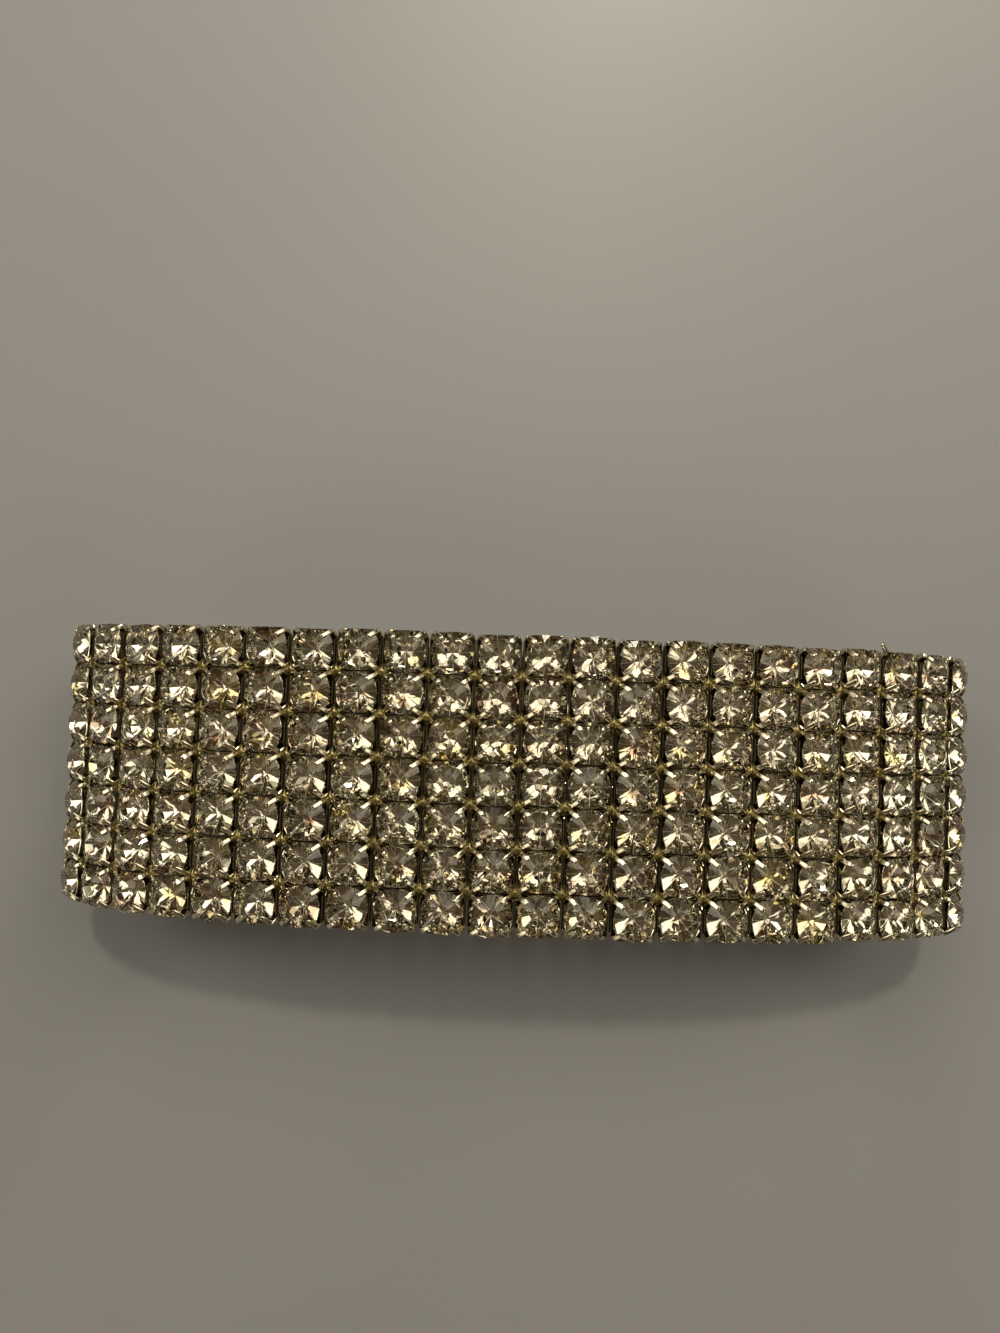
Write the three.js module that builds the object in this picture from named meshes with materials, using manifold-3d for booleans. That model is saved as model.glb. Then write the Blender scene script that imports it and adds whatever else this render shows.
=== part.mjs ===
// Rhinestone stretch bracelet: a closed band of claw-set stones on two elastic strands.
//
// The band lies on its tread as a flattened oval. X is the oval's long axis, Y runs across the
// band's width, and Z is up. Lengths are in millimetres.
//
// Each column is one rigid soldered bar of seven square cups with their stones. The columns are
// strung side by side on two closed elastic strands, which pass through the second and the sixth
// cup of every column. The whole band is worked out from one oval, which runs through the walls
// of the cups.

import * as THREE from 'three';
import { ConvexGeometry } from 'three/addons/geometries/ConvexGeometry.js';
import { mergeVertices } from 'three/addons/utils/BufferGeometryUtils.js';
import Module from 'manifold-3d';

const wasm = await Module();
wasm.setup();

// ---- driving dimensions ----

const COLUMNS = 46;
const ROWS = 7;
const ROW_PITCH = 3.6;

// The oval that carries the columns: an arched top, rounded lower corners and a flat bottom.
const OVAL = {
  halfWidth: 41.5,
  rise: 12.0, // from the widest level up to the crown of the arch
  archPower: 2.2, // 2 is an ellipse, and more is fuller at the shoulders
  drop: 8.5, // from the widest level down to the flat bottom
  cornerWidth: 15.0, // along X, from the widest point in to the flat bottom
};

// One cup with its stone. Heights are measured from the oval's line outwards.
const CUP = {
  baseLevel: -0.9,
  rimLevel: 0.8,
  tableLevel: 1.5,
  baseWidth: 3.1, // along the strand, at the inner face
  rimWidth: 3.5, // along the strand, at the claws
  corner: 0.6, // cut off each corner of the rim
  tableReach: 0.95, // from the stone's centre to a corner of its flat table
};

const STRAND = {
  rows: [2, 6],
  level: -0.3, // from the oval's line inwards, under the points of the stones
  thickness: 0.5,
  clearance: 0.15,
};

// One claw stands open, at the outer corner of the first row's cup.
const LIFTED_PRONG = {
  column: 20,
  root: new THREE.Vector3(-1.3, 12.15, 0.4),
  reach: new THREE.Vector3(-1.3, 1.28, 0.55),
  width: 0.42,
  thickness: 0.24,
};

const SILVER_PLATE = { color: 0xb8b09a, roughness: 0.25, metalness: 1.0 };
const ELASTIC = { color: 0xd9d4c4, roughness: 0.6, metalness: 0.0 };

// ---- the oval ----

const STEPS_PER_QUADRANT = 400;
const SAME_POINT = 1e-4;
const STRAIGHT = 1e-6; // sine of a turn that is too small to be a bend

// The oval is a chain of quadrants, each the curve (across * sin^q, up * cos^q) of an angle.
// It starts at the crown of the arch and runs clockwise, seen along +Y: right, under and back up.
function ovalOutline(stepsPerQuadrant) {
  const { halfWidth, rise, archPower, drop, cornerWidth } = OVAL;
  const flat = halfWidth - cornerWidth;
  const arch = (angle) => new THREE.Vector2(
    halfWidth * Math.sin(angle) ** (2 / archPower),
    rise * Math.cos(angle) ** (2 / archPower),
  );
  const corner = (angle) => new THREE.Vector2(
    flat + cornerWidth * Math.cos(angle),
    -drop * Math.sin(angle),
  );
  const right = [];
  for (const quadrant of [arch, corner]) {
    for (let step = 0; step < stepsPerQuadrant; step += 1) {
      right.push(quadrant((step / stepsPerQuadrant) * (Math.PI / 2)));
    }
  }
  right.push(new THREE.Vector2(flat, -drop));
  const left = right.slice(1).reverse().map((point) => new THREE.Vector2(-point.x, point.y));
  return [...right, ...left];
}

// Points at equal steps along the closed outline, beginning at its first point.
function evenPoints(outline, count) {
  const closed = [...outline, outline[0]];
  const lengths = [0];
  for (let i = 1; i < closed.length; i += 1) {
    lengths.push(lengths[i - 1] + closed[i].distanceTo(closed[i - 1]));
  }
  const points = [];
  let segment = 1;
  for (let k = 0; k < count; k += 1) {
    const target = (k / count) * lengths[lengths.length - 1];
    while (lengths[segment] < target) segment += 1;
    const share = (target - lengths[segment - 1]) / (lengths[segment] - lengths[segment - 1]);
    points.push(closed[segment - 1].clone().lerp(closed[segment], share));
  }
  return points;
}

// The band bends at these points, which are the gaps between neighbouring columns.
const gapPoints = evenPoints(ovalOutline(STEPS_PER_QUADRANT), COLUMNS);

// ---- solids ----

function toSolid(geometry) {
  const bare = geometry.clone();
  bare.deleteAttribute('normal');
  bare.deleteAttribute('uv');
  const merged = mergeVertices(bare, SAME_POINT);
  return new wasm.Manifold(new wasm.Mesh({
    numProp: 3,
    vertProperties: new Float32Array(merged.attributes.position.array),
    triVerts: new Uint32Array(merged.index.array),
  }));
}

function toGeometry(solid) {
  const mesh = solid.getMesh();
  const geometry = new THREE.BufferGeometry();
  geometry.setAttribute('position', new THREE.BufferAttribute(mesh.vertProperties, 3));
  geometry.setIndex(new THREE.BufferAttribute(mesh.triVerts, 1));
  geometry.computeVertexNormals();
  return geometry;
}

const rowCentre = (row) => ((ROWS + 1) / 2 - row) * ROW_PITCH;

// One cup and its stone are the hull of three outlines: a plain base, an eight-sided rim whose
// cut corners leave the star-shaped openings between four cups, and the stone's small table.
function cupSolid(row) {
  const centre = rowCentre(row);
  const half = ROW_PITCH / 2;
  const points = [];
  for (const su of [-1, 1]) {
    for (const sv of [-1, 1]) {
      const rimU = su * CUP.rimWidth / 2;
      points.push(new THREE.Vector3(su * CUP.baseWidth / 2, centre + sv * half, CUP.baseLevel));
      points.push(new THREE.Vector3(rimU, centre + sv * (half - CUP.corner), CUP.rimLevel));
      points.push(new THREE.Vector3(rimU - su * CUP.corner, centre + sv * half, CUP.rimLevel));
    }
    points.push(new THREE.Vector3(su * CUP.tableReach, centre, CUP.tableLevel));
    points.push(new THREE.Vector3(0, centre + su * CUP.tableReach, CUP.tableLevel));
  }
  return toSolid(new ConvexGeometry(points));
}

function tunnelSolid(row) {
  const bore = STRAND.thickness + 2 * STRAND.clearance;
  const tunnel = new THREE.BoxGeometry(2 * CUP.rimWidth, bore, bore);
  tunnel.translate(0, rowCentre(row), STRAND.level);
  return toSolid(tunnel);
}

function columnSolid() {
  let column = cupSolid(1);
  for (let row = 2; row <= ROWS; row += 1) column = column.add(cupSolid(row));
  for (const row of STRAND.rows) column = column.subtract(tunnelSolid(row));
  return column;
}

function liftedProngSolid() {
  const { root, reach, width, thickness } = LIFTED_PRONG;
  const prong = new THREE.BoxGeometry(width, thickness, reach.length());
  prong.translate(0, 0, reach.length() / 2);
  const along = reach.clone().normalize();
  const side = new THREE.Vector3(0, 0, 1).cross(along).normalize();
  const face = along.clone().cross(side);
  prong.applyMatrix4(new THREE.Matrix4().makeBasis(side, face, along).setPosition(root));
  return toSolid(prong);
}

// The outline at a level of the columns, with a corner at each gap where the band bends. The
// flat bottom is one straight stretch.
function outlineAt(level) {
  const outline = [];
  gapPoints.forEach((point, k) => {
    const before = gapPoints[(k + COLUMNS - 1) % COLUMNS];
    const after = gapPoints[(k + 1) % COLUMNS];
    const arriving = point.clone().sub(before).normalize();
    const leaving = after.clone().sub(point).normalize();
    if (Math.abs(arriving.cross(leaving)) < STRAIGHT) return;
    const halfTurn = arriving.angleTo(leaving) / 2;
    const tangent = arriving.add(leaving).normalize();
    const outward = new THREE.Vector2(-tangent.y, tangent.x);
    outline.push(point.clone().addScaledVector(outward, level / Math.cos(halfTurn)));
  });
  return outline;
}

// A closed ring of square section, at one row.
function strandGeometry(row) {
  const ring = new THREE.Shape(outlineAt(STRAND.level + STRAND.thickness / 2));
  ring.holes.push(new THREE.Path(outlineAt(STRAND.level - STRAND.thickness / 2).reverse()));
  const geometry = new THREE.ExtrudeGeometry(ring, { depth: STRAND.thickness, bevelEnabled: false });
  geometry.rotateX(Math.PI / 2);
  geometry.translate(0, rowCentre(row) + STRAND.thickness / 2, 0);
  return geometry;
}

// ---- the assembly ----

const bracelet = new THREE.Group();

const plainColumn = columnSolid();
const columnGeometry = toGeometry(plainColumn);
const openedGeometry = toGeometry(plainColumn.add(liftedProngSolid()));

// Column 1 is the first one on the left that shows from above. The numbers run over the top.
const COLUMNS_LEFT_OF_CROWN = 11;
const FIRST_GAP = COLUMNS - COLUMNS_LEFT_OF_CROWN;
for (let number = 1; number <= COLUMNS; number += 1) {
  const start = gapPoints[(FIRST_GAP + number - 1) % COLUMNS];
  const end = gapPoints[(FIRST_GAP + number) % COLUMNS];
  const geometry = number === LIFTED_PRONG.column ? openedGeometry : columnGeometry;
  const column = new THREE.Mesh(geometry, new THREE.MeshStandardMaterial(SILVER_PLATE));
  column.name = `column_${String(number).padStart(2, '0')}`;
  column.position.set((start.x + end.x) / 2, 0, (start.y + end.y) / 2);
  column.rotation.y = Math.atan2(start.y - end.y, end.x - start.x);
  bracelet.add(column);
}

for (const row of STRAND.rows) {
  const strand = new THREE.Mesh(strandGeometry(row), new THREE.MeshStandardMaterial(ELASTIC));
  strand.name = `strand_row_${row}`;
  bracelet.add(strand);
}

// The origin is the middle of the part's box, at the surface that the band lies on.
bracelet.updateMatrixWorld(true);
const box = new THREE.Box3().setFromObject(bracelet, true);
const middle = box.getCenter(new THREE.Vector3());
bracelet.position.set(-middle.x, -middle.y, -box.min.z);

export default bracelet;
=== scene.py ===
# %% [markdown]
# # A rhinestone stretch bracelet
# The bracelet is a closed band of rigid soldered columns, strung side by side on elastic. Each
# column has seven square claw cups, and each cup holds one faceted stone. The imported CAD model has
# the columns and the strands as plain solids, and this script dresses them. Modelling the band in
# one go would mean hundreds of equal details, so a cup, a claw, a stone and a joint of solder are
# made once each and then repeated by Geometry Nodes.

# %% Load the frame
import math
import random

import bmesh
import bpy
from mathutils import Matrix, Vector


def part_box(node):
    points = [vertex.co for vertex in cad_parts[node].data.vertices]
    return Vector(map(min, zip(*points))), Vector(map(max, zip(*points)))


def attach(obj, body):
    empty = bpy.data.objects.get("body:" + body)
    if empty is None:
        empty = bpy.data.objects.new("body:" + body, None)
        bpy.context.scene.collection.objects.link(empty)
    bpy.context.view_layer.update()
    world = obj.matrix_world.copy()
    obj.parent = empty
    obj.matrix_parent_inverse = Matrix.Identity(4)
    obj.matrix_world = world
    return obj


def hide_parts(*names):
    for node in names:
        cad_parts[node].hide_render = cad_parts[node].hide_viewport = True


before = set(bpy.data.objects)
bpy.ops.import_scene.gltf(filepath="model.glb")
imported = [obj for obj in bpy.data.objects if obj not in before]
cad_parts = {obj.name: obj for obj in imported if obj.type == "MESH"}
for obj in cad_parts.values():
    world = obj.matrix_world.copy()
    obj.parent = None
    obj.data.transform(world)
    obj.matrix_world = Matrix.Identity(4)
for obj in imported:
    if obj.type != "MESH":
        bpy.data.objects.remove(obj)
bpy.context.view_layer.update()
MM = 0.001
columns = sorted(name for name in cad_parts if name.startswith("column_"))
strands = sorted(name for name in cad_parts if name.startswith("strand_"))
print("columns:", len(columns), "strands:", strands)

# %% [markdown]
# ## Where the columns sit
# The band follows a flattened oval: an arched top, rounded lower corners and a flat bottom. The
# columns stand at equal steps along it, each square to its own stretch. The same few sizes drive
# the CAD model, so the seats worked out here fall inside its columns. Each seat could be read from
# its column's mesh instead, but the sizes also give the directions, which the parts need to stand
# upright. Heights are measured from the oval's line outwards.

# %% The oval and its forty-six seats
ROWS = 7
ROW_PITCH = 3.6
HALF_WIDTH, RISE, ARCH_POWER = 41.5, 12.0, 2.2
DROP, CORNER_WIDTH = 8.5, 15.0
TABLE_LEVEL = 1.5
OVAL_STEPS = 400               # in each quarter of the outline, before it is divided evenly
LEFT_OF_CROWN = 11             # columns between the first one and the top of the arch
FIRST_GAP = len(columns) - LEFT_OF_CROWN


def oval_outline(steps):
    """The band's line in the XZ plane, from the top of the arch clockwise."""
    flat = HALF_WIDTH - CORNER_WIDTH
    right = []
    for k in range(steps):
        angle = k / steps * math.pi / 2
        right.append((HALF_WIDTH * math.sin(angle) ** (2 / ARCH_POWER),
                      RISE * math.cos(angle) ** (2 / ARCH_POWER)))
    for k in range(steps):
        angle = k / steps * math.pi / 2
        right.append((flat + CORNER_WIDTH * math.cos(angle), -DROP * math.sin(angle)))
    right.append((flat, -DROP))
    left = [(-x, z) for x, z in reversed(right[1:])]
    return [Vector(p) for p in right + left]


def even_points(outline, count):
    """Points at equal steps along the closed outline."""
    closed = outline + outline[:1]
    lengths = [0.0]
    for a, b in zip(closed, closed[1:]):
        lengths.append(lengths[-1] + (b - a).length)
    points = []
    segment = 1
    for k in range(count):
        target = k / count * lengths[-1]
        while lengths[segment] < target:
            segment += 1
        share = (target - lengths[segment - 1]) / (lengths[segment] - lengths[segment - 1])
        points.append(closed[segment - 1].lerp(closed[segment], share))
    return points


gap_points = even_points(oval_outline(OVAL_STEPS), len(columns))
low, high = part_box("column_12")    # any column but the one with the open claw
MIDDLE_Y = (low[1] + high[1]) / 2 / MM
OVAL_Z = DROP + TABLE_LEVEL
SLIP, SINK = 0.12, 0.1          # mm across the band, and mm inwards
LEAN = (0.5, 0.5, 0.15)         # degrees about the strand, the band's width and the outward axis

rng = random.Random(20)
seats = []
for number in range(len(columns)):
    a = gap_points[(FIRST_GAP + number) % len(columns)]
    b = gap_points[(FIRST_GAP + number + 1) % len(columns)]
    middle = (a + b) / 2
    heading = math.atan2(a.y - b.y, b.x - a.x)
    outward = Vector((math.sin(heading), 0, math.cos(heading)))
    place = Vector((middle.x, MIDDLE_Y, middle.y + OVAL_Z))
    # strung by hand: each bar sits a little differently, and never further out than its place
    place += Vector((0, rng.uniform(-SLIP, SLIP), 0)) - outward * rng.uniform(0, SINK)
    lean = [math.radians(rng.uniform(-limit, limit)) for limit in LEAN]
    seats.append((place, Vector((lean[0], heading + lean[1], lean[2]))))
pitch = (gap_points[1] - gap_points[0]).length
print("column pitch %.2f mm, middle of the band at y = %.2f mm" % (pitch, MIDDLE_Y))

# %% [markdown]
# ## Small helpers for meshes and nodes
# A finished piece has its place in its mesh, and its object stays at the origin. One helper turns
# lists of points and faces into an object, in millimetres, and another joins rings of points by
# faces, since the cup, the claw and the solder are all lofted through rings. One helper adds a
# shader or geometry node with its settings and links, so that each material and each tree reads
# as a short list.

# %% Helpers
def srgb(code):
    """A hex colour as linear red, green, blue and alpha."""
    channels = [int(code[i:i + 2], 16) / 255 for i in (1, 3, 5)]
    linear = [c / 12.92 if c <= 0.04045 else ((c + 0.055) / 1.055) ** 2.4 for c in channels]
    return (*linear, 1.0)


def new_object(name, points, faces, smooth=False):
    """A mesh object from points in millimetres."""
    mesh = bpy.data.meshes.new(name)
    mesh.from_pydata([tuple(c * MM for c in p) for p in points], [], faces)
    mesh.polygons.foreach_set("use_smooth", [smooth] * len(mesh.polygons))
    mesh.update()
    obj = bpy.data.objects.new(name, mesh)
    bpy.context.scene.collection.objects.link(obj)
    return obj


def loft_faces(first, rings, count):
    """Quads between neighbouring rings of count points each, numbered from a first point."""
    faces = []
    for start in range(first, first + (rings - 1) * count, count):
        for k in range(count):
            a, b = start + k, start + (k + 1) % count
            faces.append((a, b, b + count, a + count))
    return faces


def end_caps(first, rings, count):
    """The faces that close the first and the last ring."""
    last = first + (rings - 1) * count
    return [tuple(range(first, first + count)), tuple(range(last, last + count))]


def fix_normals(obj):
    """Turns every face outwards."""
    bm = bmesh.new()
    bm.from_mesh(obj.data)
    bmesh.ops.recalc_face_normals(bm, faces=bm.faces)
    bm.to_mesh(obj.data)
    bm.free()


def add(tree, kind, settings=None, **inputs):
    """Adds a node. A setting is a property, and an input is a value or another node's output."""
    node = tree.nodes.new(kind)
    for key, value in (settings or {}).items():
        setattr(node, key, value)
    for key, value in inputs.items():
        socket = node.inputs[int(key[1:])] if key[0] == "i" and key[1:].isdigit() else \
            node.inputs[key.replace("_", " ")]
        if isinstance(value, bpy.types.NodeSocket):
            tree.links.new(value, socket)
        else:
            socket.default_value = value
    return node


def new_material(name):
    """A material without nodes, and its empty tree."""
    material = bpy.data.materials.new(name)
    material.use_nodes = True
    tree = material.node_tree
    tree.nodes.clear()
    print("material:", name)
    return material, tree


def noise(tree, size, detail):
    """Soft patches about size millimetres across, fixed to the object."""
    place = add(tree, "ShaderNodeTexCoord").outputs["Object"]
    return add(tree, "ShaderNodeTexNoise", Vector=place, Scale=1 / (size * MM),
               Detail=detail).outputs[0]


def blend(tree, factor, low, high):
    """A colour between two, each of them a hex colour or another node's output."""
    ends = [srgb(end) if isinstance(end, str) else end for end in (low, high)]
    return add(tree, "ShaderNodeMix", {"data_type": "RGBA"}, i0=factor, i6=ends[0],
               i7=ends[1]).outputs[2]


def finish_surface(tree, shader):
    add(tree, "ShaderNodeOutputMaterial", Surface=shader.outputs[0])


print("the helpers take millimetres, of", MM, "m")

# %% [markdown]
# ## Materials
# The settings are stamped brass with thin silver-tone plating, warm and a little uneven. One flat
# colour would look like new chrome, so a broad noise changes the colour and a fine one the
# roughness. Shade is painted into two more copies of the plating: the claws keep the plain colour,
# the cups behind them are painted darker, and the sides that face the next column are painted near
# black, as the shade in the narrow gaps. The solder that joins the cups keeps a pale champagne
# colour.

# %% Silver-tone plating
def silver_plating(name, low, high, roughness):
    material, tree = new_material(name)
    # patches of wear a few millimetres across, and fine scratches
    colour = blend(tree, noise(tree, 3.0, detail=3.0), low, high)
    grain = noise(tree, 0.15, detail=2.0)
    rough = add(tree, "ShaderNodeMapRange", Value=grain, To_Min=roughness[0],
                To_Max=roughness[1])
    bump = add(tree, "ShaderNodeBump", Height=grain, Strength=0.1, Distance=0.01 * MM)
    shader = add(tree, "ShaderNodeBsdfPrincipled", Base_Color=colour, Metallic=1.0,
                 Roughness=rough.outputs[0], Normal=bump.outputs[0])
    finish_surface(tree, shader)
    return material


plating = silver_plating("silver_tone_plating_bright", "#c9c0a6", "#dcd6c4", (0.07, 0.18))
# painted shade: the same plating made darker for the cups, which lie deeper than the claws
recess_shade_plating = silver_plating("silver_tone_plating_dulled", "#aca388", "#c4bba4", (0.1, 0.22))

# %% Plating painted with the shade of the gaps
def gap_shade_plating():
    """Painted shade: the sides that face the next column are made near black, as the shade in the
    gaps.
    """
    material, tree = new_material("silver_tone_plating_grimy")
    gap_blotches = noise(tree, 0.4, detail=3.0)
    # painted shade: a near-black brown, mottled by the noise
    colour = blend(tree, gap_blotches, "#2a2113", "#574b33")
    bump = add(tree, "ShaderNodeBump", Height=gap_blotches, Strength=0.4, Distance=0.1 * MM)
    shader = add(tree, "ShaderNodeBsdfPrincipled", Base_Color=colour, Metallic=0.3,
                 Roughness=0.6, Normal=bump.outputs[0])
    finish_surface(tree, shader)
    return material


gap_shade_finish = gap_shade_plating()

# %% Champagne solder
def champagne_solder():
    """Solder that has flowed is wavy."""
    material, tree = new_material("champagne_solder_flowed")
    waves = noise(tree, 0.6, detail=2.0)
    colour = blend(tree, waves, "#8c8054", "#bfb27c")
    bump = add(tree, "ShaderNodeBump", Height=waves, Strength=0.5, Distance=0.15 * MM)
    shader = add(tree, "ShaderNodeBsdfPrincipled", Base_Color=colour, Metallic=1.0,
                 Roughness=0.36, Normal=bump.outputs[0])
    finish_surface(tree, shader)
    return material


solder = champagne_solder()

# %% [markdown]
# The stones are pressed and polished crystal glass. Their pointed backs are mirrored with foil,
# so light goes in through the crown, bounces off the back and comes out as bright and dark
# triangles. The crown is real glass here, and the back is a mirror seen through it.

# %% Crystal glass and mirror foil
def crystal_glass():
    material, tree = new_material("crystal_glass_polished")
    shader = add(tree, "ShaderNodeBsdfPrincipled", Base_Color=srgb("#fbf9f3"), Roughness=0.0,
                 IOR=1.55)
    shader.inputs["Transmission Weight"].default_value = 1.0
    finish_surface(tree, shader)
    return material


def mirror_foil():
    material, tree = new_material("mirror_foil_backing")
    # the foil varies from stone to stone, so the noise is one stone across
    colour = blend(tree, noise(tree, ROW_PITCH, detail=1.0), "#dedacd", "#f2efe8")
    # cut glass splits a little of the light; these yellow or rust flashes are painted into a few
    # facets' foil
    place = add(tree, "ShaderNodeTexCoord").outputs["Object"]
    cells = add(tree, "ShaderNodeTexVoronoi", Vector=place, Scale=1 / (0.9 * MM))
    pick = add(tree, "ShaderNodeSeparateColor", Color=cells.outputs["Color"]).outputs[0]
    for limit, above, flash in ((0.94, True, "#f6ecc0"), (0.06, False, "#ccb8a8")):
        test = {"operation": "GREATER_THAN" if above else "LESS_THAN"}
        chosen = add(tree, "ShaderNodeMath", test, i0=pick, i1=limit)
        colour = blend(tree, chosen.outputs[0], colour, flash)
    # the foil is scuffed along the blunt edges, which then show as fine pale lines
    wear = add(tree, "ShaderNodeAttribute", {"attribute_name": "wear"}).outputs["Fac"]
    rough = add(tree, "ShaderNodeMapRange", Value=wear, To_Min=0.03, To_Max=0.45)
    shader = add(tree, "ShaderNodeBsdfPrincipled", Base_Color=colour, Metallic=1.0,
                 Roughness=rough.outputs[0])
    finish_surface(tree, shader)
    return material


glass = crystal_glass()
foil = mirror_foil()

# %% [markdown]
# The strands are clear stretch cord, a soft plastic. They lie deep in the cups and hardly show, so
# a plain colour would do from outside. But the band may also be looked at from within, so most of
# the light goes through them, and their surface is dull and a little cloudy.

# %% Elastic
def elastic_cord():
    material, tree = new_material("clear_elastic_cord_extruded")
    # stretched plastic clouds a little, every millimetre or two
    colour = blend(tree, noise(tree, 1.5, detail=2.0), "#a29c8c", "#c4bfb0")
    shader = add(tree, "ShaderNodeBsdfPrincipled", Base_Color=colour, Roughness=0.3, IOR=1.5)
    shader.inputs["Transmission Weight"].default_value = 0.7
    finish_surface(tree, shader)
    return material


elastic = elastic_cord()

# %% [markdown]
# ## One cup
# A claw cup is stamped from sheet and folded up into a small square box that narrows to its base.
# Its rim is straight along the middle of each side and dips to a notch beside each corner, where
# a claw is cut free. It could be a bevelled cube with cuts, but a ring of points round a rounded
# square, lofted through a few levels, gives that shape with few faces, which matters because the
# cup is repeated 322 times.

# %% The cup's outline and levels
BASE_LEVEL, FLOOR_LEVEL = -0.9, -0.74   # the floor leaves room for the strand below the stone
CUP_HALF = (1.90, 1.74)        # along the strand and across the band, at the rim
WAIST_HALF, WAIST_DEPTH = (1.95, 1.76), 0.22   # neighbouring columns nearly touch at level 0
BASE_HALF = (1.55, 1.66)
CORNER_RADIUS = 0.55
WALL = 0.07
RIM_LEVEL, NOTCH_LEVEL, CORNER_LEVEL = 0.62, 0.36, 0.8
NOTCH_WIDTH = 0.24
RIM_RADIUS, FLOOR_RADIUS = 0.50, 0.40      # of the inner corners
ROUND_CORNER = 0.293           # 1 - cos(45 degrees): how far a round corner lies inside a sharp one
# the pressed base: how far a ring lies inside it, its corner radius and its height above it
BASE_RINGS = [(0.45, 0.30, 0.08), (0.35, 0.30, 0.0), (0.15, 0.36, 0.0), (0.0, 0.45, 0.16)]
TAPER = 0.08                   # the cup is narrower by this below its waist, along the strand
FLOOR_INSET = 0.5              # how far the inner wall leans in, down to the flat floor
# least along the strand, and most across the band, of the normal of a wall that gets the painted gap
# shade
GAP_SHADE_NORMAL = (0.6, 0.3)


def cup_ring(half_u, half_v, radius, levels):
    """Points round a rounded square. levels gives the height on the side, notch and corner."""
    side, notch, corner = levels
    ring = []
    for turn in range(4):
        along, across = (half_u, half_v) if turn % 2 == 0 else (half_v, half_u)
        quarter = Matrix.Rotation(turn * math.pi / 2, 3, "Z")
        local = [(along, -across + radius + NOTCH_WIDTH, side),
                 (along, across - radius - NOTCH_WIDTH, side),
                 (along, across - radius, notch),
                 (along - radius * ROUND_CORNER, across - radius * ROUND_CORNER, corner),
                 (along - radius, across, notch)]
        ring += [quarter @ Vector(p) for p in local]
    return ring


print("points in each ring of the cup:", len(cup_ring(*CUP_HALF, CORNER_RADIUS, (0.0,) * 3)))

# %% The cup
def make_cup():
    u, v = CUP_HALF
    bu, bv = BASE_HALF
    rim = (RIM_LEVEL, NOTCH_LEVEL, CORNER_LEVEL)
    rings = [cup_ring(bu - inset, bv - inset, radius, (BASE_LEVEL + height,) * 3)
             for inset, radius, height in BASE_RINGS]
    rings += [
        cup_ring(u - TAPER, v, CORNER_RADIUS, (-WAIST_DEPTH,) * 3),
        cup_ring(*WAIST_HALF, CORNER_RADIUS, (0.0,) * 3),
        cup_ring(u, v, CORNER_RADIUS, (WAIST_DEPTH,) * 3),
        cup_ring(u, v, CORNER_RADIUS, rim),
        cup_ring(u - WALL, v - WALL, RIM_RADIUS, rim),
        cup_ring(u - WALL - FLOOR_INSET, v - WALL - FLOOR_INSET, FLOOR_RADIUS,
                 (FLOOR_LEVEL,) * 3),
    ]
    points = [p for ring in rings for p in ring]
    count = len(rings[0])
    under, floor = end_caps(0, len(rings), count)
    faces = [under[::-1]] + loft_faces(0, len(rings), count) + [floor]
    cup = new_object("cup", points, faces, smooth=True)
    cup.data.set_sharp_from_angle(angle=math.radians(35))
    # the outer walls that face the next column get the second finish, the painted shade of the gaps
    gap_shade_faces = cup.data.attributes.new("backing", "BOOLEAN", "FACE")
    last_outer = count * (len(rings) - 3)      # the last face before the rim turns inwards
    for k, face in enumerate(cup.data.polygons):
        sideways = abs(face.normal.x) > GAP_SHADE_NORMAL[0] and abs(face.normal.y) < GAP_SHADE_NORMAL[1]
        gap_shade_faces.data[k].value = k <= last_outer and sideways
    print("cup faces:", len(faces))
    return cup


cup = make_cup()

# %% [markdown]
# ## One claw
# Each corner of the cup has a claw: a narrow tongue that stands up from the corner and is pushed
# down over the stone. It could be a curve with a bevel, but here a rounded bar is lofted along a
# short path, so that it tapers to its tip and only its two upper edges stay crisp. The claw doesn't
# point along the cup's diagonal but closer to the strand's direction. So neighbouring corners have
# mirrored claws: a right-hand and a left-hand one are made, each for two opposite corners.

# %% The claw's path
CLAW_WIDTH, CLAW_THICKNESS = 0.46, 0.24
# half width and half thickness round the section: a strip with rounded edges
CLAW_SECTION = [(1.0, 0.1), (0.87, 0.66), (0.52, 1.0), (-0.52, 1.0), (-0.87, 0.66), (-1.0, 0.1),
                (-0.7, -1.0), (0.7, -1.0)]
FLAT_TOP = (2, 3)               # the two corners of the section that bound the flat top
CLAW_TAPER = (1.15, 1.05, 1.0, 1.0, 0.92, 0.68, 0.34)
CLAW_TIP, CLAW_BEARING = (0.85, 1.07), 34.5   # mm from the cup's axis, degrees from the strand
FOLDED_PATH = [(0.88, 0.30), (0.88, 0.60), (0.78, 0.76), (0.18, 1.11), (0.08, 1.17), (-0.01, 1.20),
               (-0.06, 1.19)]
print("the folded claw reaches level", max(level for _, level in FOLDED_PATH))

# %% The claw
def make_claw(name, path):
    """A bent bar. The path gives distance back from the tip and height, along +X."""
    sides = len(CLAW_SECTION)
    points = []
    for k, (reach, level) in enumerate(path):
        before = Vector(path[max(k - 1, 0)])
        after = Vector(path[min(k + 1, len(path) - 1)])
        along = (after - before).normalized()
        normal = Vector((along.y, -along.x))      # the outer face, which ends up on top
        scale = CLAW_TAPER[k]
        for side, up in CLAW_SECTION:
            across = side * CLAW_WIDTH / 2 * scale
            lift = up * CLAW_THICKNESS / 2 * scale
            points.append((reach + normal.x * lift, across, level + normal.y * lift))
    faces = loft_faces(0, len(path), sides) + end_caps(0, len(path), sides)
    claw = new_object(name, points, faces, smooth=True)
    fix_normals(claw)
    # a worn claw has a flat top, so the two long edges beside it stay crisp up to its round end
    crisp = claw.data.attributes.new("sharp_edge", "BOOLEAN", "EDGE")
    for k, edge in enumerate(claw.data.edges):
        a, b = edge.vertices
        straight = max(a, b) // sides < len(path) - 2
        crisp.data[k].value = straight and a % sides == b % sides and a % sides in FLAT_TOP
    return claw


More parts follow.
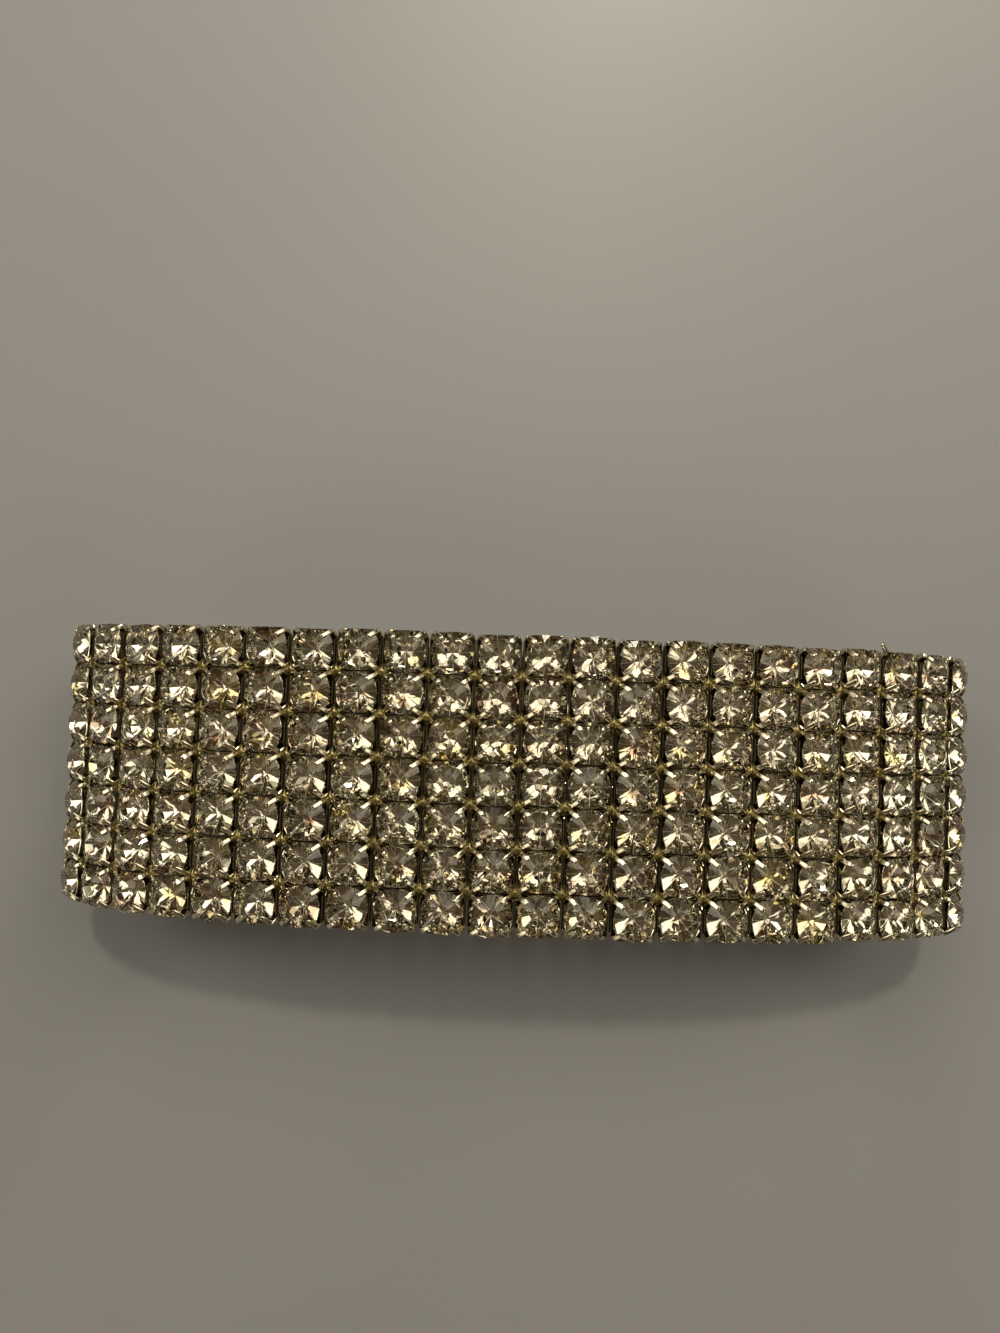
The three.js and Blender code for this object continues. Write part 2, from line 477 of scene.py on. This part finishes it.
def claw_at_corner(name, path, hand):
    """A claw in the corner between +X and +Y (hand 1), or between +X and -Y (hand -1)."""
    bar = make_claw(name, path)
    bar.data.transform(Matrix.Translation(Vector((CLAW_TIP[0], hand * CLAW_TIP[1], 0)) * MM) @
                       Matrix.Rotation(math.radians(hand * CLAW_BEARING), 4, "Z"))
    return bar


claw_pair = {hand: claw_at_corner("claw", FOLDED_PATH, hand) for hand in (1, -1)}
print("claw faces:", len(claw_pair[1].data.polygons))

# %% [markdown]
# ## One stone
# The stone is a chaton: a small flat table, a ring of star and kite facets, sixteen small facets
# down to the girdle, and a back that runs to a point. Its girdle is slightly squared, to fill the
# cup. A cone cut by planes would give the same form, but here the few corners are worked out
# directly, so that each face is one facet. The kites are flat on the sides and fold a little at
# the squared corners. The edges between the back facets are blunt and scuffed. Nothing is smoothed.

# %% The cut
GIRDLE_RADIUS, GIRDLE_LEVEL = 1.77, 0.8
GIRDLE_POWER = 2.7   # 2 is round, and more is squarer, to fill the corners of the cup
TABLE_RADIUS = 0.72
STAR_RADIUS = 1.16
CULET_LEVEL = -0.42
EDGE = 0.04    # half width of the blunt edges between the back facets
BELT = 0.08    # height of the narrow belt round the girdle
FOLD = 8       # how often the cut repeats round the stone


def ring_points(radius, level, count, shift=0.0, power=2.0):
    """Points round a circle, or round a squarer line if the power is more than 2."""
    points = []
    for k in range(count):
        angle = (k + shift) / count * 2 * math.pi
        x, y = math.cos(angle), math.sin(angle)
        reach = radius * (abs(x) ** power + abs(y) ** power) ** (-1 / power)
        points.append((reach * x, reach * y, level))
    return points


def back_corners(belt):
    """Each back facet is a triangle drawn in from its neighbours, which leaves a blunt edge."""
    corners = []
    for k in range(FOLD):
        start, end = Vector(belt[2 * k]), Vector(belt[(2 * k + 2) % len(belt)])
        along = (end - start).normalized()
        corners += [start + along * EDGE, end - along * EDGE,
                    along.cross(Vector((0, 0, 1))) * EDGE + Vector((0, 0, CULET_LEVEL))]
    return corners


print("the stone is %.2f mm across" % (2 * GIRDLE_RADIUS))

# %% The facets
def make_stone():
    # the slope of the crown makes each kite on the stone's sides flat
    slope = (TABLE_LEVEL - GIRDLE_LEVEL) / (GIRDLE_RADIUS - TABLE_RADIUS)
    star_level = TABLE_LEVEL - slope * (STAR_RADIUS * math.cos(math.pi / FOLD) - TABLE_RADIUS)
    table = ring_points(TABLE_RADIUS, TABLE_LEVEL, FOLD)
    star = ring_points(STAR_RADIUS, star_level, FOLD, shift=0.5)
    girdle = ring_points(GIRDLE_RADIUS, GIRDLE_LEVEL, 2 * FOLD, power=GIRDLE_POWER)
    belt = ring_points(GIRDLE_RADIUS, GIRDLE_LEVEL - BELT, 2 * FOLD, power=GIRDLE_POWER)
    points, starts = [], []
    for part in (table, star, girdle, belt, back_corners(belt)):
        starts.append(len(points))
        points += part
    t, s, g, b, e = starts
    faces = [tuple(range(FOLD))]
    for k in range(FOLD):
        nxt, prev = (k + 1) % FOLD, (k - 1) % FOLD
        faces += [(t + k, s + k, t + nxt),
                  (t + k, s + prev, g + 2 * k, s + k),
                  (s + k, g + 2 * k, g + 2 * k + 1),
                  (s + k, g + 2 * k + 1, g + 2 * nxt)]
    for k in range(2 * FOLD):
        nxt = (k + 1) % (2 * FOLD)
        faces.append((g + k, b + k, b + nxt, g + nxt))
    first_back = len(faces)
    for k in range(FOLD):
        nxt = (k + 1) % FOLD
        here, there = e + 3 * k, e + 3 * nxt
        faces += [(b + 2 * k, here, here + 1, b + 2 * nxt, b + 2 * k + 1),
                  (here, here + 2, here + 1),
                  (here + 1, here + 2, there + 2, there),
                  (here + 1, there, b + 2 * nxt)]
    faces.append(tuple(e + 3 * k + 2 for k in range(FOLD)))
    stone = new_object("stone", points, faces)
    fix_normals(stone)
    backing = stone.data.attributes.new("backing", "BOOLEAN", "FACE")
    for k in range(first_back, len(faces)):
        backing.data[k].value = True
    # of the four faces made for each back facet, the third is the blunt edge
    wear = stone.data.attributes.new("wear", "FLOAT", "FACE")
    for k in range(FOLD):
        wear.data[first_back + 4 * k + 2].value = 1.0
    print("stone faces:", len(faces))
    return stone


stone = make_stone()

# %% [markdown]
# ## Repeating along the band
# A bracelet like this is assembled from hundreds of equal cups and stones. Copying them in a loop
# would be slow, so a tree of Geometry Nodes puts seven seats on each column and a copy of the part
# on each seat. A small random tilt and turn with a fixed seed keeps the copies from looking
# machined. The copies are realized, because only real faces are exported, and the result is kept
# as a plain mesh.

# %% The tree
def seat_tree():
    tree = bpy.data.node_groups.new("parts_on_seats", "GeometryNodeTree")
    sockets = [("Columns", "Geometry"), ("Part", "Object"), ("Rows", "Int"), ("Row Pitch", "Float"),
               ("Copies", "Int"), ("Tilt", "Float"), ("Turn", "Float"), ("Skip", "Int"),
               ("Seed", "Int"), ("Finish", "Material"), ("Backing", "Material")]
    for name, kind in sockets:
        tree.interface.new_socket(name=name, in_out="INPUT", socket_type="NodeSocket" + kind)
    tree.interface.new_socket(name="Result", in_out="OUTPUT", socket_type="NodeSocketGeometry")
    given = add(tree, "NodeGroupInput").outputs

    def maths(operation, a, b):
        return add(tree, "ShaderNodeMath", {"operation": operation}, i0=a, i1=b).outputs[0]

    # a line of seats across the band, centred on each column
    span = maths("MULTIPLY", maths("SUBTRACT", given["Rows"], 1.0), given["Row Pitch"])
    start = add(tree, "ShaderNodeCombineXYZ", Y=maths("MULTIPLY", span, 0.5))
    step = add(tree, "ShaderNodeCombineXYZ", Y=maths("MULTIPLY", given["Row Pitch"], -1.0))
    line = add(tree, "GeometryNodeMeshLine", Count=given["Rows"],
               Start_Location=start.outputs[0], Offset=step.outputs[0])
    stored = add(tree, "GeometryNodeInputNamedAttribute", {"data_type": "FLOAT_VECTOR"}, Name="turn")
    upright = add(tree, "FunctionNodeEulerToRotation", Euler=stored.outputs[0])
    rows = add(tree, "GeometryNodeInstanceOnPoints", Points=given["Columns"],
               Instance=line.outputs[0], Rotation=upright.outputs[0])
    seated = add(tree, "GeometryNodeRealizeInstances", Geometry=rows.outputs[0])
    # copies of the part on each seat, turned evenly about the seat's own axis
    copies = add(tree, "GeometryNodeDuplicateElements", {"domain": "POINT"},
                 Geometry=seated.outputs[0], Amount=given["Copies"])
    even = maths("DIVIDE", 2 * math.pi, given["Copies"])
    turn = maths("MULTIPLY", copies.outputs["Duplicate Index"], even)
    # a seeded tilt and turn of each copy
    chance = add(tree, "FunctionNodeRandomValue", {"data_type": "FLOAT_VECTOR"},
                 i0=(-1, -1, -1), i1=(1, 1, 1), Seed=given["Seed"])
    limits = add(tree, "ShaderNodeCombineXYZ", X=given["Tilt"], Y=given["Tilt"], Z=given["Turn"])
    lean = add(tree, "ShaderNodeVectorMath", {"operation": "MULTIPLY"}, i0=chance.outputs[0],
               i1=limits.outputs[0])
    whole = add(tree, "ShaderNodeVectorMath", {"operation": "ADD"}, i0=lean.outputs[0],
                i1=add(tree, "ShaderNodeCombineXYZ", Z=turn).outputs[0])
    own = add(tree, "FunctionNodeEulerToRotation", Euler=whole.outputs[0])
    facing = add(tree, "FunctionNodeRotateRotation", {"rotation_space": "LOCAL"},
                 Rotation=upright.outputs[0], Rotate_By=own.outputs[0])
    # one copy may be left out, where another piece takes its place
    unwanted = add(tree, "FunctionNodeCompare", {"data_type": "INT", "operation": "EQUAL"},
                   i2=add(tree, "GeometryNodeInputIndex").outputs[0], i3=given["Skip"])
    wanted = add(tree, "FunctionNodeBooleanMath", {"operation": "NOT"}, i0=unwanted.outputs[0])
    part = add(tree, "GeometryNodeObjectInfo", Object=given["Part"])
    parts = add(tree, "GeometryNodeInstanceOnPoints", Points=copies.outputs[0],
                Selection=wanted.outputs[0], Instance=part.outputs["Geometry"],
                Rotation=facing.outputs[0])
    real = add(tree, "GeometryNodeRealizeInstances", Geometry=parts.outputs[0])
    # faces marked as backing take the second finish: the stones' foil, and the cups' painted gap
    # shade
    backed = add(tree, "GeometryNodeInputNamedAttribute", {"data_type": "BOOLEAN"}, Name="backing")
    first = add(tree, "GeometryNodeSetMaterial", Geometry=real.outputs[0],
                Material=given["Finish"])
    second = add(tree, "GeometryNodeSetMaterial", Geometry=first.outputs[0],
                 Selection=backed.outputs[0], Material=given["Backing"])
    add(tree, "NodeGroupOutput", i0=second.outputs[0])
    return tree


parts_on_seats = seat_tree()
print("tree inputs:", [item.name for item in parts_on_seats.interface.items_tree
                       if item.in_out == "INPUT"])

# %% Running the tree
def apply_tree(host, tree, values):
    """Sets the tree's inputs on the host, keeps the result as a plain mesh and drops the tree."""
    modifier = host.modifiers.new("repeat", "NODES")
    modifier.node_group = tree
    for item in tree.interface.items_tree:
        if item.in_out == "INPUT" and item.name in values:
            modifier[item.identifier] = values[item.name]
    made = host.evaluated_get(bpy.context.evaluated_depsgraph_get())
    mesh = bpy.data.meshes.new_from_object(made)
    host.modifiers.remove(modifier)
    old, host.data = host.data, mesh
    mesh.name = host.name
    bpy.data.meshes.remove(old)
    for name in ("turn", "backing"):
        if name in mesh.attributes:
            mesh.attributes.remove(mesh.attributes[name])
    triangles = sum(len(face.vertices) - 2 for face in mesh.polygons)
    print("%s: %d triangles" % (host.name, triangles))
    return host


def repeat(name, part, **values):
    """One piece from copies of a part on every seat of every column."""
    host = new_object(name, [place for place, _ in seats], [])
    turns = host.data.attributes.new("turn", "FLOAT_VECTOR", "POINT")
    for spot, (_, turn) in zip(turns.data, seats):
        spot.vector = turn
    inputs = {"Part": part, "Rows": ROWS, "Row Pitch": ROW_PITCH * MM, "Copies": 1,
              "Tilt": 0.0, "Turn": 0.0, "Skip": -1, "Seed": 1}
    inputs.update({key.replace("_", " "): value for key, value in values.items()})
    inputs.setdefault("Backing", inputs["Finish"])
    return apply_tree(host, parts_on_seats, inputs)

# %% Cups, claws and stones
LIFTED_COLUMN = 20
skipped = (LIFTED_COLUMN - 1) * ROWS * 2 + 1      # its first row's second copy
# painted shade: the cups take the darker plating, and their sides in the gaps the near-black one
cups = repeat("claw_cups", cup, Finish=recess_shade_plating, Backing=gap_shade_finish)
bent_by_hand = {"Copies": 2, "Tilt": math.radians(1.5), "Turn": math.radians(3)}
right_claws = repeat("claws_right_hand", claw_pair[1], Finish=plating, Seed=5, **bent_by_hand)
left_claws = repeat("claws_left_hand", claw_pair[-1], Finish=plating, Seed=6, Skip=skipped,
                    **bent_by_hand)
stones = repeat("stones", stone, Finish=glass, Backing=foil, Tilt=math.radians(4),
                Turn=math.radians(11), Seed=3)

# %% [markdown]
# ## Solder
# The cups of a column are held together by solder. Where four cups meet, it fills the opening
# between their round corners and shows as a small four-pointed star. A star in one piece would
# lock two columns together, so it is made as two halves with a hairline between them. Underneath,
# a fillet runs along the joint between two cups. Balls would look like beads in the openings, so
# each half is lofted through a few sections that widen towards the hairline, and so is the fillet.

# %% The solder's sections
HAIRLINE = 0.04                # between the two halves of a star
PAD_EDGE = (pitch - HAIRLINE) / 2
# reach along the joint, half width across it, and height of each cross-section of a pad
PAD_SECTIONS = [(1.00, 0.05, 0.30), (1.45, 0.14, 0.52), (1.70, 0.36, 0.62), (PAD_EDGE, 0.80, 0.58)]
# round a pad's section: place across it, in half widths, and depth below its crest
PAD_OUTLINE = [(-1, 0.30), (-0.4, 0.05), (0, 0.0), (0.4, 0.05), (1, 0.30), (0.6, 0.75),
               (-0.6, 0.75)]
# the fillet: place along the joint and radius of each cross-section
FILLET_SECTIONS = [(-1.1, 0.16), (-0.95, 0.3), (0.95, 0.3), (1.1, 0.16)]
FILLET_LEVEL, FILLET_SIDES = -0.52, 6
print("each half of a star ends %.3f mm from the column's middle" % PAD_EDGE)

# %% One joint of solder
def make_solder():
    points, faces = [], []
    for side in (-1, 1):
        base = len(points)
        for reach, half, level in PAD_SECTIONS:
            points += [(side * reach, half * across, level - drop) for across, drop in PAD_OUTLINE]
        faces += loft_faces(base, len(PAD_SECTIONS), len(PAD_OUTLINE))
        faces += end_caps(base, len(PAD_SECTIONS), len(PAD_OUTLINE))
    base = len(points)
    for reach, radius in FILLET_SECTIONS:
        for s in range(FILLET_SIDES):
            angle = s / FILLET_SIDES * 2 * math.pi
            points.append((reach, radius * math.cos(angle),
                           FILLET_LEVEL + radius * math.sin(angle)))
    faces += loft_faces(base, len(FILLET_SECTIONS), FILLET_SIDES)
    faces += end_caps(base, len(FILLET_SECTIONS), FILLET_SIDES)
    joint = new_object("joint", points, faces, smooth=True)
    fix_normals(joint)
    joint.data.set_sharp_from_angle(angle=math.radians(50))
    return joint


joint = make_solder()
joints = repeat("solder_joints", joint, Finish=solder, Rows=ROWS - 1, Seed=8)

# %% [markdown]
# ## Elastic and eyelets
# Two round elastic strands run through the second and the sixth cup of every column. Each cup
# that they pass has a small eyelet in its two side walls. A strand could be a torus, but it has to
# bend where the band bends, so it is a closed loop with a corner at each gap between the columns,
# swept with a round profile.

# %% The tree for the strands
STRAND_RADIUS, STRAND_LEVEL = 0.09, -0.68   # between the stones' points and the cups' floors
STRAND_SIDES = 12


def strand_tree():
    tree = bpy.data.node_groups.new("cord_on_loop", "GeometryNodeTree")
    for name, kind in (("Loop", "Geometry"), ("Radius", "Float"), ("Sides", "Int"),
                       ("Finish", "Material")):
        tree.interface.new_socket(name=name, in_out="INPUT", socket_type="NodeSocket" + kind)
    tree.interface.new_socket(name="Result", in_out="OUTPUT", socket_type="NodeSocketGeometry")
    given = add(tree, "NodeGroupInput").outputs
    path = add(tree, "GeometryNodeMeshToCurve", Mesh=given["Loop"])
    profile = add(tree, "GeometryNodeCurvePrimitiveCircle", Resolution=given["Sides"],
                  Radius=given["Radius"])
    swept = add(tree, "GeometryNodeCurveToMesh", Curve=path.outputs[0],
                Profile_Curve=profile.outputs[0])
    real = add(tree, "GeometryNodeRealizeInstances", Geometry=swept.outputs[0])
    done = add(tree, "GeometryNodeSetMaterial", Geometry=real.outputs[0],
               Material=given["Finish"])
    add(tree, "NodeGroupOutput", i0=done.outputs[0])
    return tree


cord_on_loop = strand_tree()
print("sides of the cord:", STRAND_SIDES)

# %% The strands along their loops
def offset_points(points, level):
    """The closed outline moved outwards by a level, mitred at its corners."""
    moved = []
    for k, point in enumerate(points):
        arriving = (point - points[k - 1]).normalized()
        leaving = (points[(k + 1) % len(points)] - point).normalized()
        tangent = (arriving + leaving).normalized()
        moved.append(point + Vector((-tangent.y, tangent.x)) * level / tangent.dot(arriving))
    return moved


strand_rows = [int(node.split("_")[-1]) for node in strands]
strand_pieces = {}
for node, row in zip(strands, strand_rows):
    y = MIDDLE_Y + ((ROWS + 1) / 2 - row) * ROW_PITCH
    loop = new_object("elastic_row_%d" % row, [], [])
    bm = bmesh.new()
    corners = [bm.verts.new(Vector((p.x, y, p.y + OVAL_Z)) * MM)
               for p in offset_points(gap_points, STRAND_LEVEL)]
    for k, corner in enumerate(corners):
        bm.edges.new((corner, corners[(k + 1) % len(corners)]))
    bm.to_mesh(loop.data)
    bm.free()
    cord = apply_tree(loop, cord_on_loop, {
        "Radius": STRAND_RADIUS * MM, "Sides": STRAND_SIDES, "Finish": elastic})
    cord.data.polygons.foreach_set("use_smooth", [True] * len(cord.data.polygons))
    fix_normals(cord)
    strand_pieces[node] = cord

# %% The eyelets
EYELET_LEVEL = -0.59           # the strand lies low in the eyelets
EYELET_WALL = 1.72             # from the cup's axis to the wall that the eyelet goes through
# distance along the tube from the wall, and radius, round the tube's section
EYELET_SECTION = [(-0.14, 0.17), (0.06, 0.17), (0.10, 0.21), (0.06, 0.26), (-0.14, 0.26)]
EYELET_SIDES = 12


def make_eyelets():
    """A short flanged tube in each of the cup's two side walls."""
    points, faces = [], []
    count = len(EYELET_SECTION)
    for side in (-1, 1):
        base = len(points)
        for s in range(EYELET_SIDES):
            angle = s / EYELET_SIDES * 2 * math.pi
            for along, radius in EYELET_SECTION:
                points.append((side * (EYELET_WALL + along), radius * math.cos(angle),
                               EYELET_LEVEL + radius * math.sin(angle)))
        for s in range(EYELET_SIDES):
            here, there = base + s * count, base + (s + 1) % EYELET_SIDES * count
            for k in range(count):
                nxt = (k + 1) % count
                faces.append((here + k, here + nxt, there + nxt, there + k))
    eyelet = new_object("eyelet", points, faces, smooth=True)
    fix_normals(eyelet)
    return eyelet


eyelet = make_eyelets()
eyelets = repeat("eyelets", eyelet, Finish=plating, Rows=len(strands),
                 Row_Pitch=(strand_rows[-1] - strand_rows[0]) * ROW_PITCH * MM)

# %% [markdown]
# ## The lifted claw
# One claw at the edge of the band has sprung open. It is the same bar, bent outwards instead of
# inwards, so it uses the same section on another path. The tree has left its place free.

# %% Lifted claw
LIFTED_REACH, LIFTED_BEARING = 2.19, 135   # mm from the cup's axis, degrees from the strand
LIFTED_PATH = [(0.01, 0.40), (0.07, 0.72), (0.33, 0.84), (0.73, 0.90), (1.06, 1.02), (1.19, 1.06)]
lifted = make_claw("lifted_claw", LIFTED_PATH)
place, turn = seats[LIFTED_COLUMN - 1]
upright = Matrix.Rotation(turn.z, 4, "Z") @ Matrix.Rotation(turn.y, 4, "Y") @ \
    Matrix.Rotation(turn.x, 4, "X")
in_cup = Matrix.Translation((0, (ROWS - 1) / 2 * ROW_PITCH * MM, 0)) @ \
    Matrix.Rotation(math.radians(LIFTED_BEARING), 4, "Z") @ \
    Matrix.Translation((LIFTED_REACH * MM, 0, 0))
lifted.data.transform(Matrix.Translation(place * MM) @ upright @ in_cup)
lifted.data.materials.append(plating)
print("lifted claw reaches y = %.2f mm" % (max(v.co.y for v in lifted.data.vertices) / MM))

# %% [markdown]
# ## The pieces in the frame
# Nothing in the bracelet is jointed, so every piece rides on the one body of the imported model. The
# cups stand for the forty-six columns and the cords for the two strands, whose solids are hidden,
# and the rest is added to them. The single parts that were copied have done their work, and are
# removed.

# %% Put the pieces in the frame
for template in (cup, *claw_pair.values(), stone, joint, eyelet):
    bpy.data.objects.remove(template)
metal_and_glass = (cups, right_claws, left_claws, stones, joints, eyelets, lifted)
for piece in metal_and_glass:
    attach(piece, "root")
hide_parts(*columns)
for node, piece in strand_pieces.items():
    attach(piece, "root")
    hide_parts(node)
print("pieces:", len(metal_and_glass) + len(strand_pieces))

# %% [markdown]
# ## Floor, light and camera
# The bracelet lies on a plain pale surface. One warm lamp stands high behind it and throws the
# shadow, and a second one stands lower, further behind. Lamps alone would leave the stones and the
# plating black between the glints, because polished things only show what is round them. So the
# world is a dim room with soft bright patches, like lit walls and windows. A picture of a real room
# could do the same, but a few patches are easier to move. The camera looks almost straight down
# from about 10 cm.

# %% Floor
def floor_material():
    material, tree = new_material("matt_paper_backdrop")
    colour = blend(tree, noise(tree, 40, detail=3.0), "#999ba1", "#a1a3a8")
    shader = add(tree, "ShaderNodeBsdfPrincipled", Base_Color=colour, Roughness=0.5)
    finish_surface(tree, shader)
    return material


FLOOR_HALF = 1500              # mm
floor = new_object("floor", [(x * FLOOR_HALF, y * FLOOR_HALF, 0)
                             for x, y in ((-1, -1), (1, -1), (1, 1), (-1, 1))], [(0, 1, 2, 3)])
floor.data.materials.append(floor_material())

# %% Lamps
WARM = (1.0, 0.90, 0.72)


def lamp(name, direction, distance, size, power):
    """A round area light that looks at the bracelet from a direction. Sizes are in metres."""
    light = bpy.data.lights.new(name, "AREA")
    light.shape = "DISK"
    light.size = size
    light.energy = power
    light.color = WARM
    obj = bpy.data.objects.new(name, light)
    obj.location = Vector(direction).normalized() * distance
    obj.rotation_euler = Vector(direction).to_track_quat("Z", "Y").to_euler()
    bpy.context.scene.collection.objects.link(obj)
    print("%s at %.0f mm" % (name, obj.location.length / MM))


lamp("key_lamp", (0.02, 0.57, 1.0), distance=0.6, size=0.038, power=0.64)
lamp("back_lamp", (0.1, 1.0, 0.35), distance=0.17, size=0.04, power=0.065)

# %% Room
# height of the direction, and how bright the room is there
WALLS = ((0.0, 0.02), (0.3, 0.08), (0.62, 0.14), (0.85, 0.12), (0.95, 0.055))
WALL_TINT, PATCH_TINT = (1.0, 0.79, 0.50), (1.0, 0.91, 0.73)
HORIZON = 0.02                 # patches end at this height of the direction
SOFTNESS = 0.25                # a patch fades over this share of its half size, in and out
# middle and half size of a soft patch in the directions' X, Y and Z, and how bright it is
PATCHES = (((-0.50, 0.42, 0.7), (0.28, 0.18, 9.0), 2.6),
           ((0.50, 0.44, 0.7), (0.25, 0.25, 9.0), 2.6),
           ((0.02, 0.76, 0.6), (0.20, 0.12, 9.0), 1.6),
           ((-0.05, 0.05, 1.0), (0.14, 0.12, 9.0), 0.12),
           ((-0.66, -0.58, 0.4), (0.14, 0.14, 9.0), 1.6),
           ((0.56, -0.52, 0.6), (0.13, 0.16, 9.0), 1.6))


def soft_room():
    """A dim room with paler walls, a dark zenith and soft bright patches above the horizon."""
    world = bpy.data.worlds.new("room")
    world.use_nodes = True
    tree = world.node_tree
    tree.nodes.clear()
    way = add(tree, "ShaderNodeTexCoord").outputs["Generated"]
    up = add(tree, "ShaderNodeSeparateXYZ", Vector=way).outputs["Z"]
    walls = add(tree, "ShaderNodeValToRGB", Fac=up)
    for k, (height, level) in enumerate(WALLS):
        stops = walls.color_ramp.elements
        stop = stops[k] if k < 2 else stops.new(height)
        stop.position = height
        stop.color = (level, level, level, 1)
    total = add(tree, "ShaderNodeVectorMath", {"operation": "MULTIPLY"}, i0=walls.outputs[0],
                i1=WALL_TINT).outputs[0]
    above = add(tree, "ShaderNodeMath", {"operation": "GREATER_THAN"}, i0=up, i1=HORIZON)
    for middle, half, level in PATCHES:
        off = add(tree, "ShaderNodeVectorMath", {"operation": "SUBTRACT"}, i0=way, i1=middle)
        scaled = add(tree, "ShaderNodeVectorMath", {"operation": "DIVIDE"}, i0=off.outputs[0],
                     i1=half)
        reach = add(tree, "ShaderNodeVectorMath", {"operation": "LENGTH"}, i0=scaled.outputs[0])
        glow = add(tree, "ShaderNodeMapRange", {"interpolation_type": "SMOOTHSTEP"},
                   Value=reach.outputs["Value"], From_Min=1 + SOFTNESS, From_Max=1 - SOFTNESS,
                   To_Min=0.0, To_Max=level)
        seen = add(tree, "ShaderNodeMath", {"operation": "MULTIPLY"}, i0=glow.outputs[0],
                   i1=above.outputs[0])
        total = add(tree, "ShaderNodeVectorMath", {"operation": "MULTIPLY_ADD"},
                    i0=seen.outputs[0], i1=PATCH_TINT, i2=total).outputs[0]
    back = add(tree, "ShaderNodeBackground", Color=total, Strength=1.0)
    add(tree, "ShaderNodeOutputWorld", Surface=back.outputs[0])
    bpy.context.scene.world = world


soft_room()
print("room patches:", len(PATCHES))

# %% Camera
CAMERA_LENS, SENSOR_WIDTH = 27.03, 36               # mm
CAMERA_PLACE = Vector((-2.02, 5.69, 106.36))        # mm
CAMERA_TURN = (2.467, -0.13, 2.085)      # degrees, as a rotation vector, from straight down
NEAREST = 0.005                          # m, since the camera is close to a small thing

camera = bpy.data.objects.new("camera", bpy.data.cameras.new("camera"))
camera.data.lens = CAMERA_LENS
camera.data.sensor_width = SENSOR_WIDTH
camera.data.clip_start = NEAREST
camera.location = CAMERA_PLACE * MM
turn = Vector(math.radians(angle) for angle in CAMERA_TURN)
camera.rotation_euler = Matrix.Rotation(turn.length, 3, turn.normalized()).to_euler()
bpy.context.scene.collection.objects.link(camera)
bpy.context.scene.camera = camera
print("the camera is tipped by %.2f degrees" % math.degrees(turn.length))

# %% [markdown]
# ## Render settings
# Light goes into a stone, off its foil and out again, often more than once, so its paths may be
# longer than usual. The clamp keeps single stray glints from leaving bright specks, and the plain
# view transform shows the colours as they were set.

# %% Render settings
scene = bpy.context.scene
scene.view_settings.view_transform = "Standard"
scene.cycles.max_bounces = 14
scene.cycles.transmission_bounces = 12
scene.cycles.glossy_bounces = 8
scene.cycles.use_denoising = True
scene.cycles.sample_clamp_indirect = 6.0
print("bounces:", scene.cycles.max_bounces)
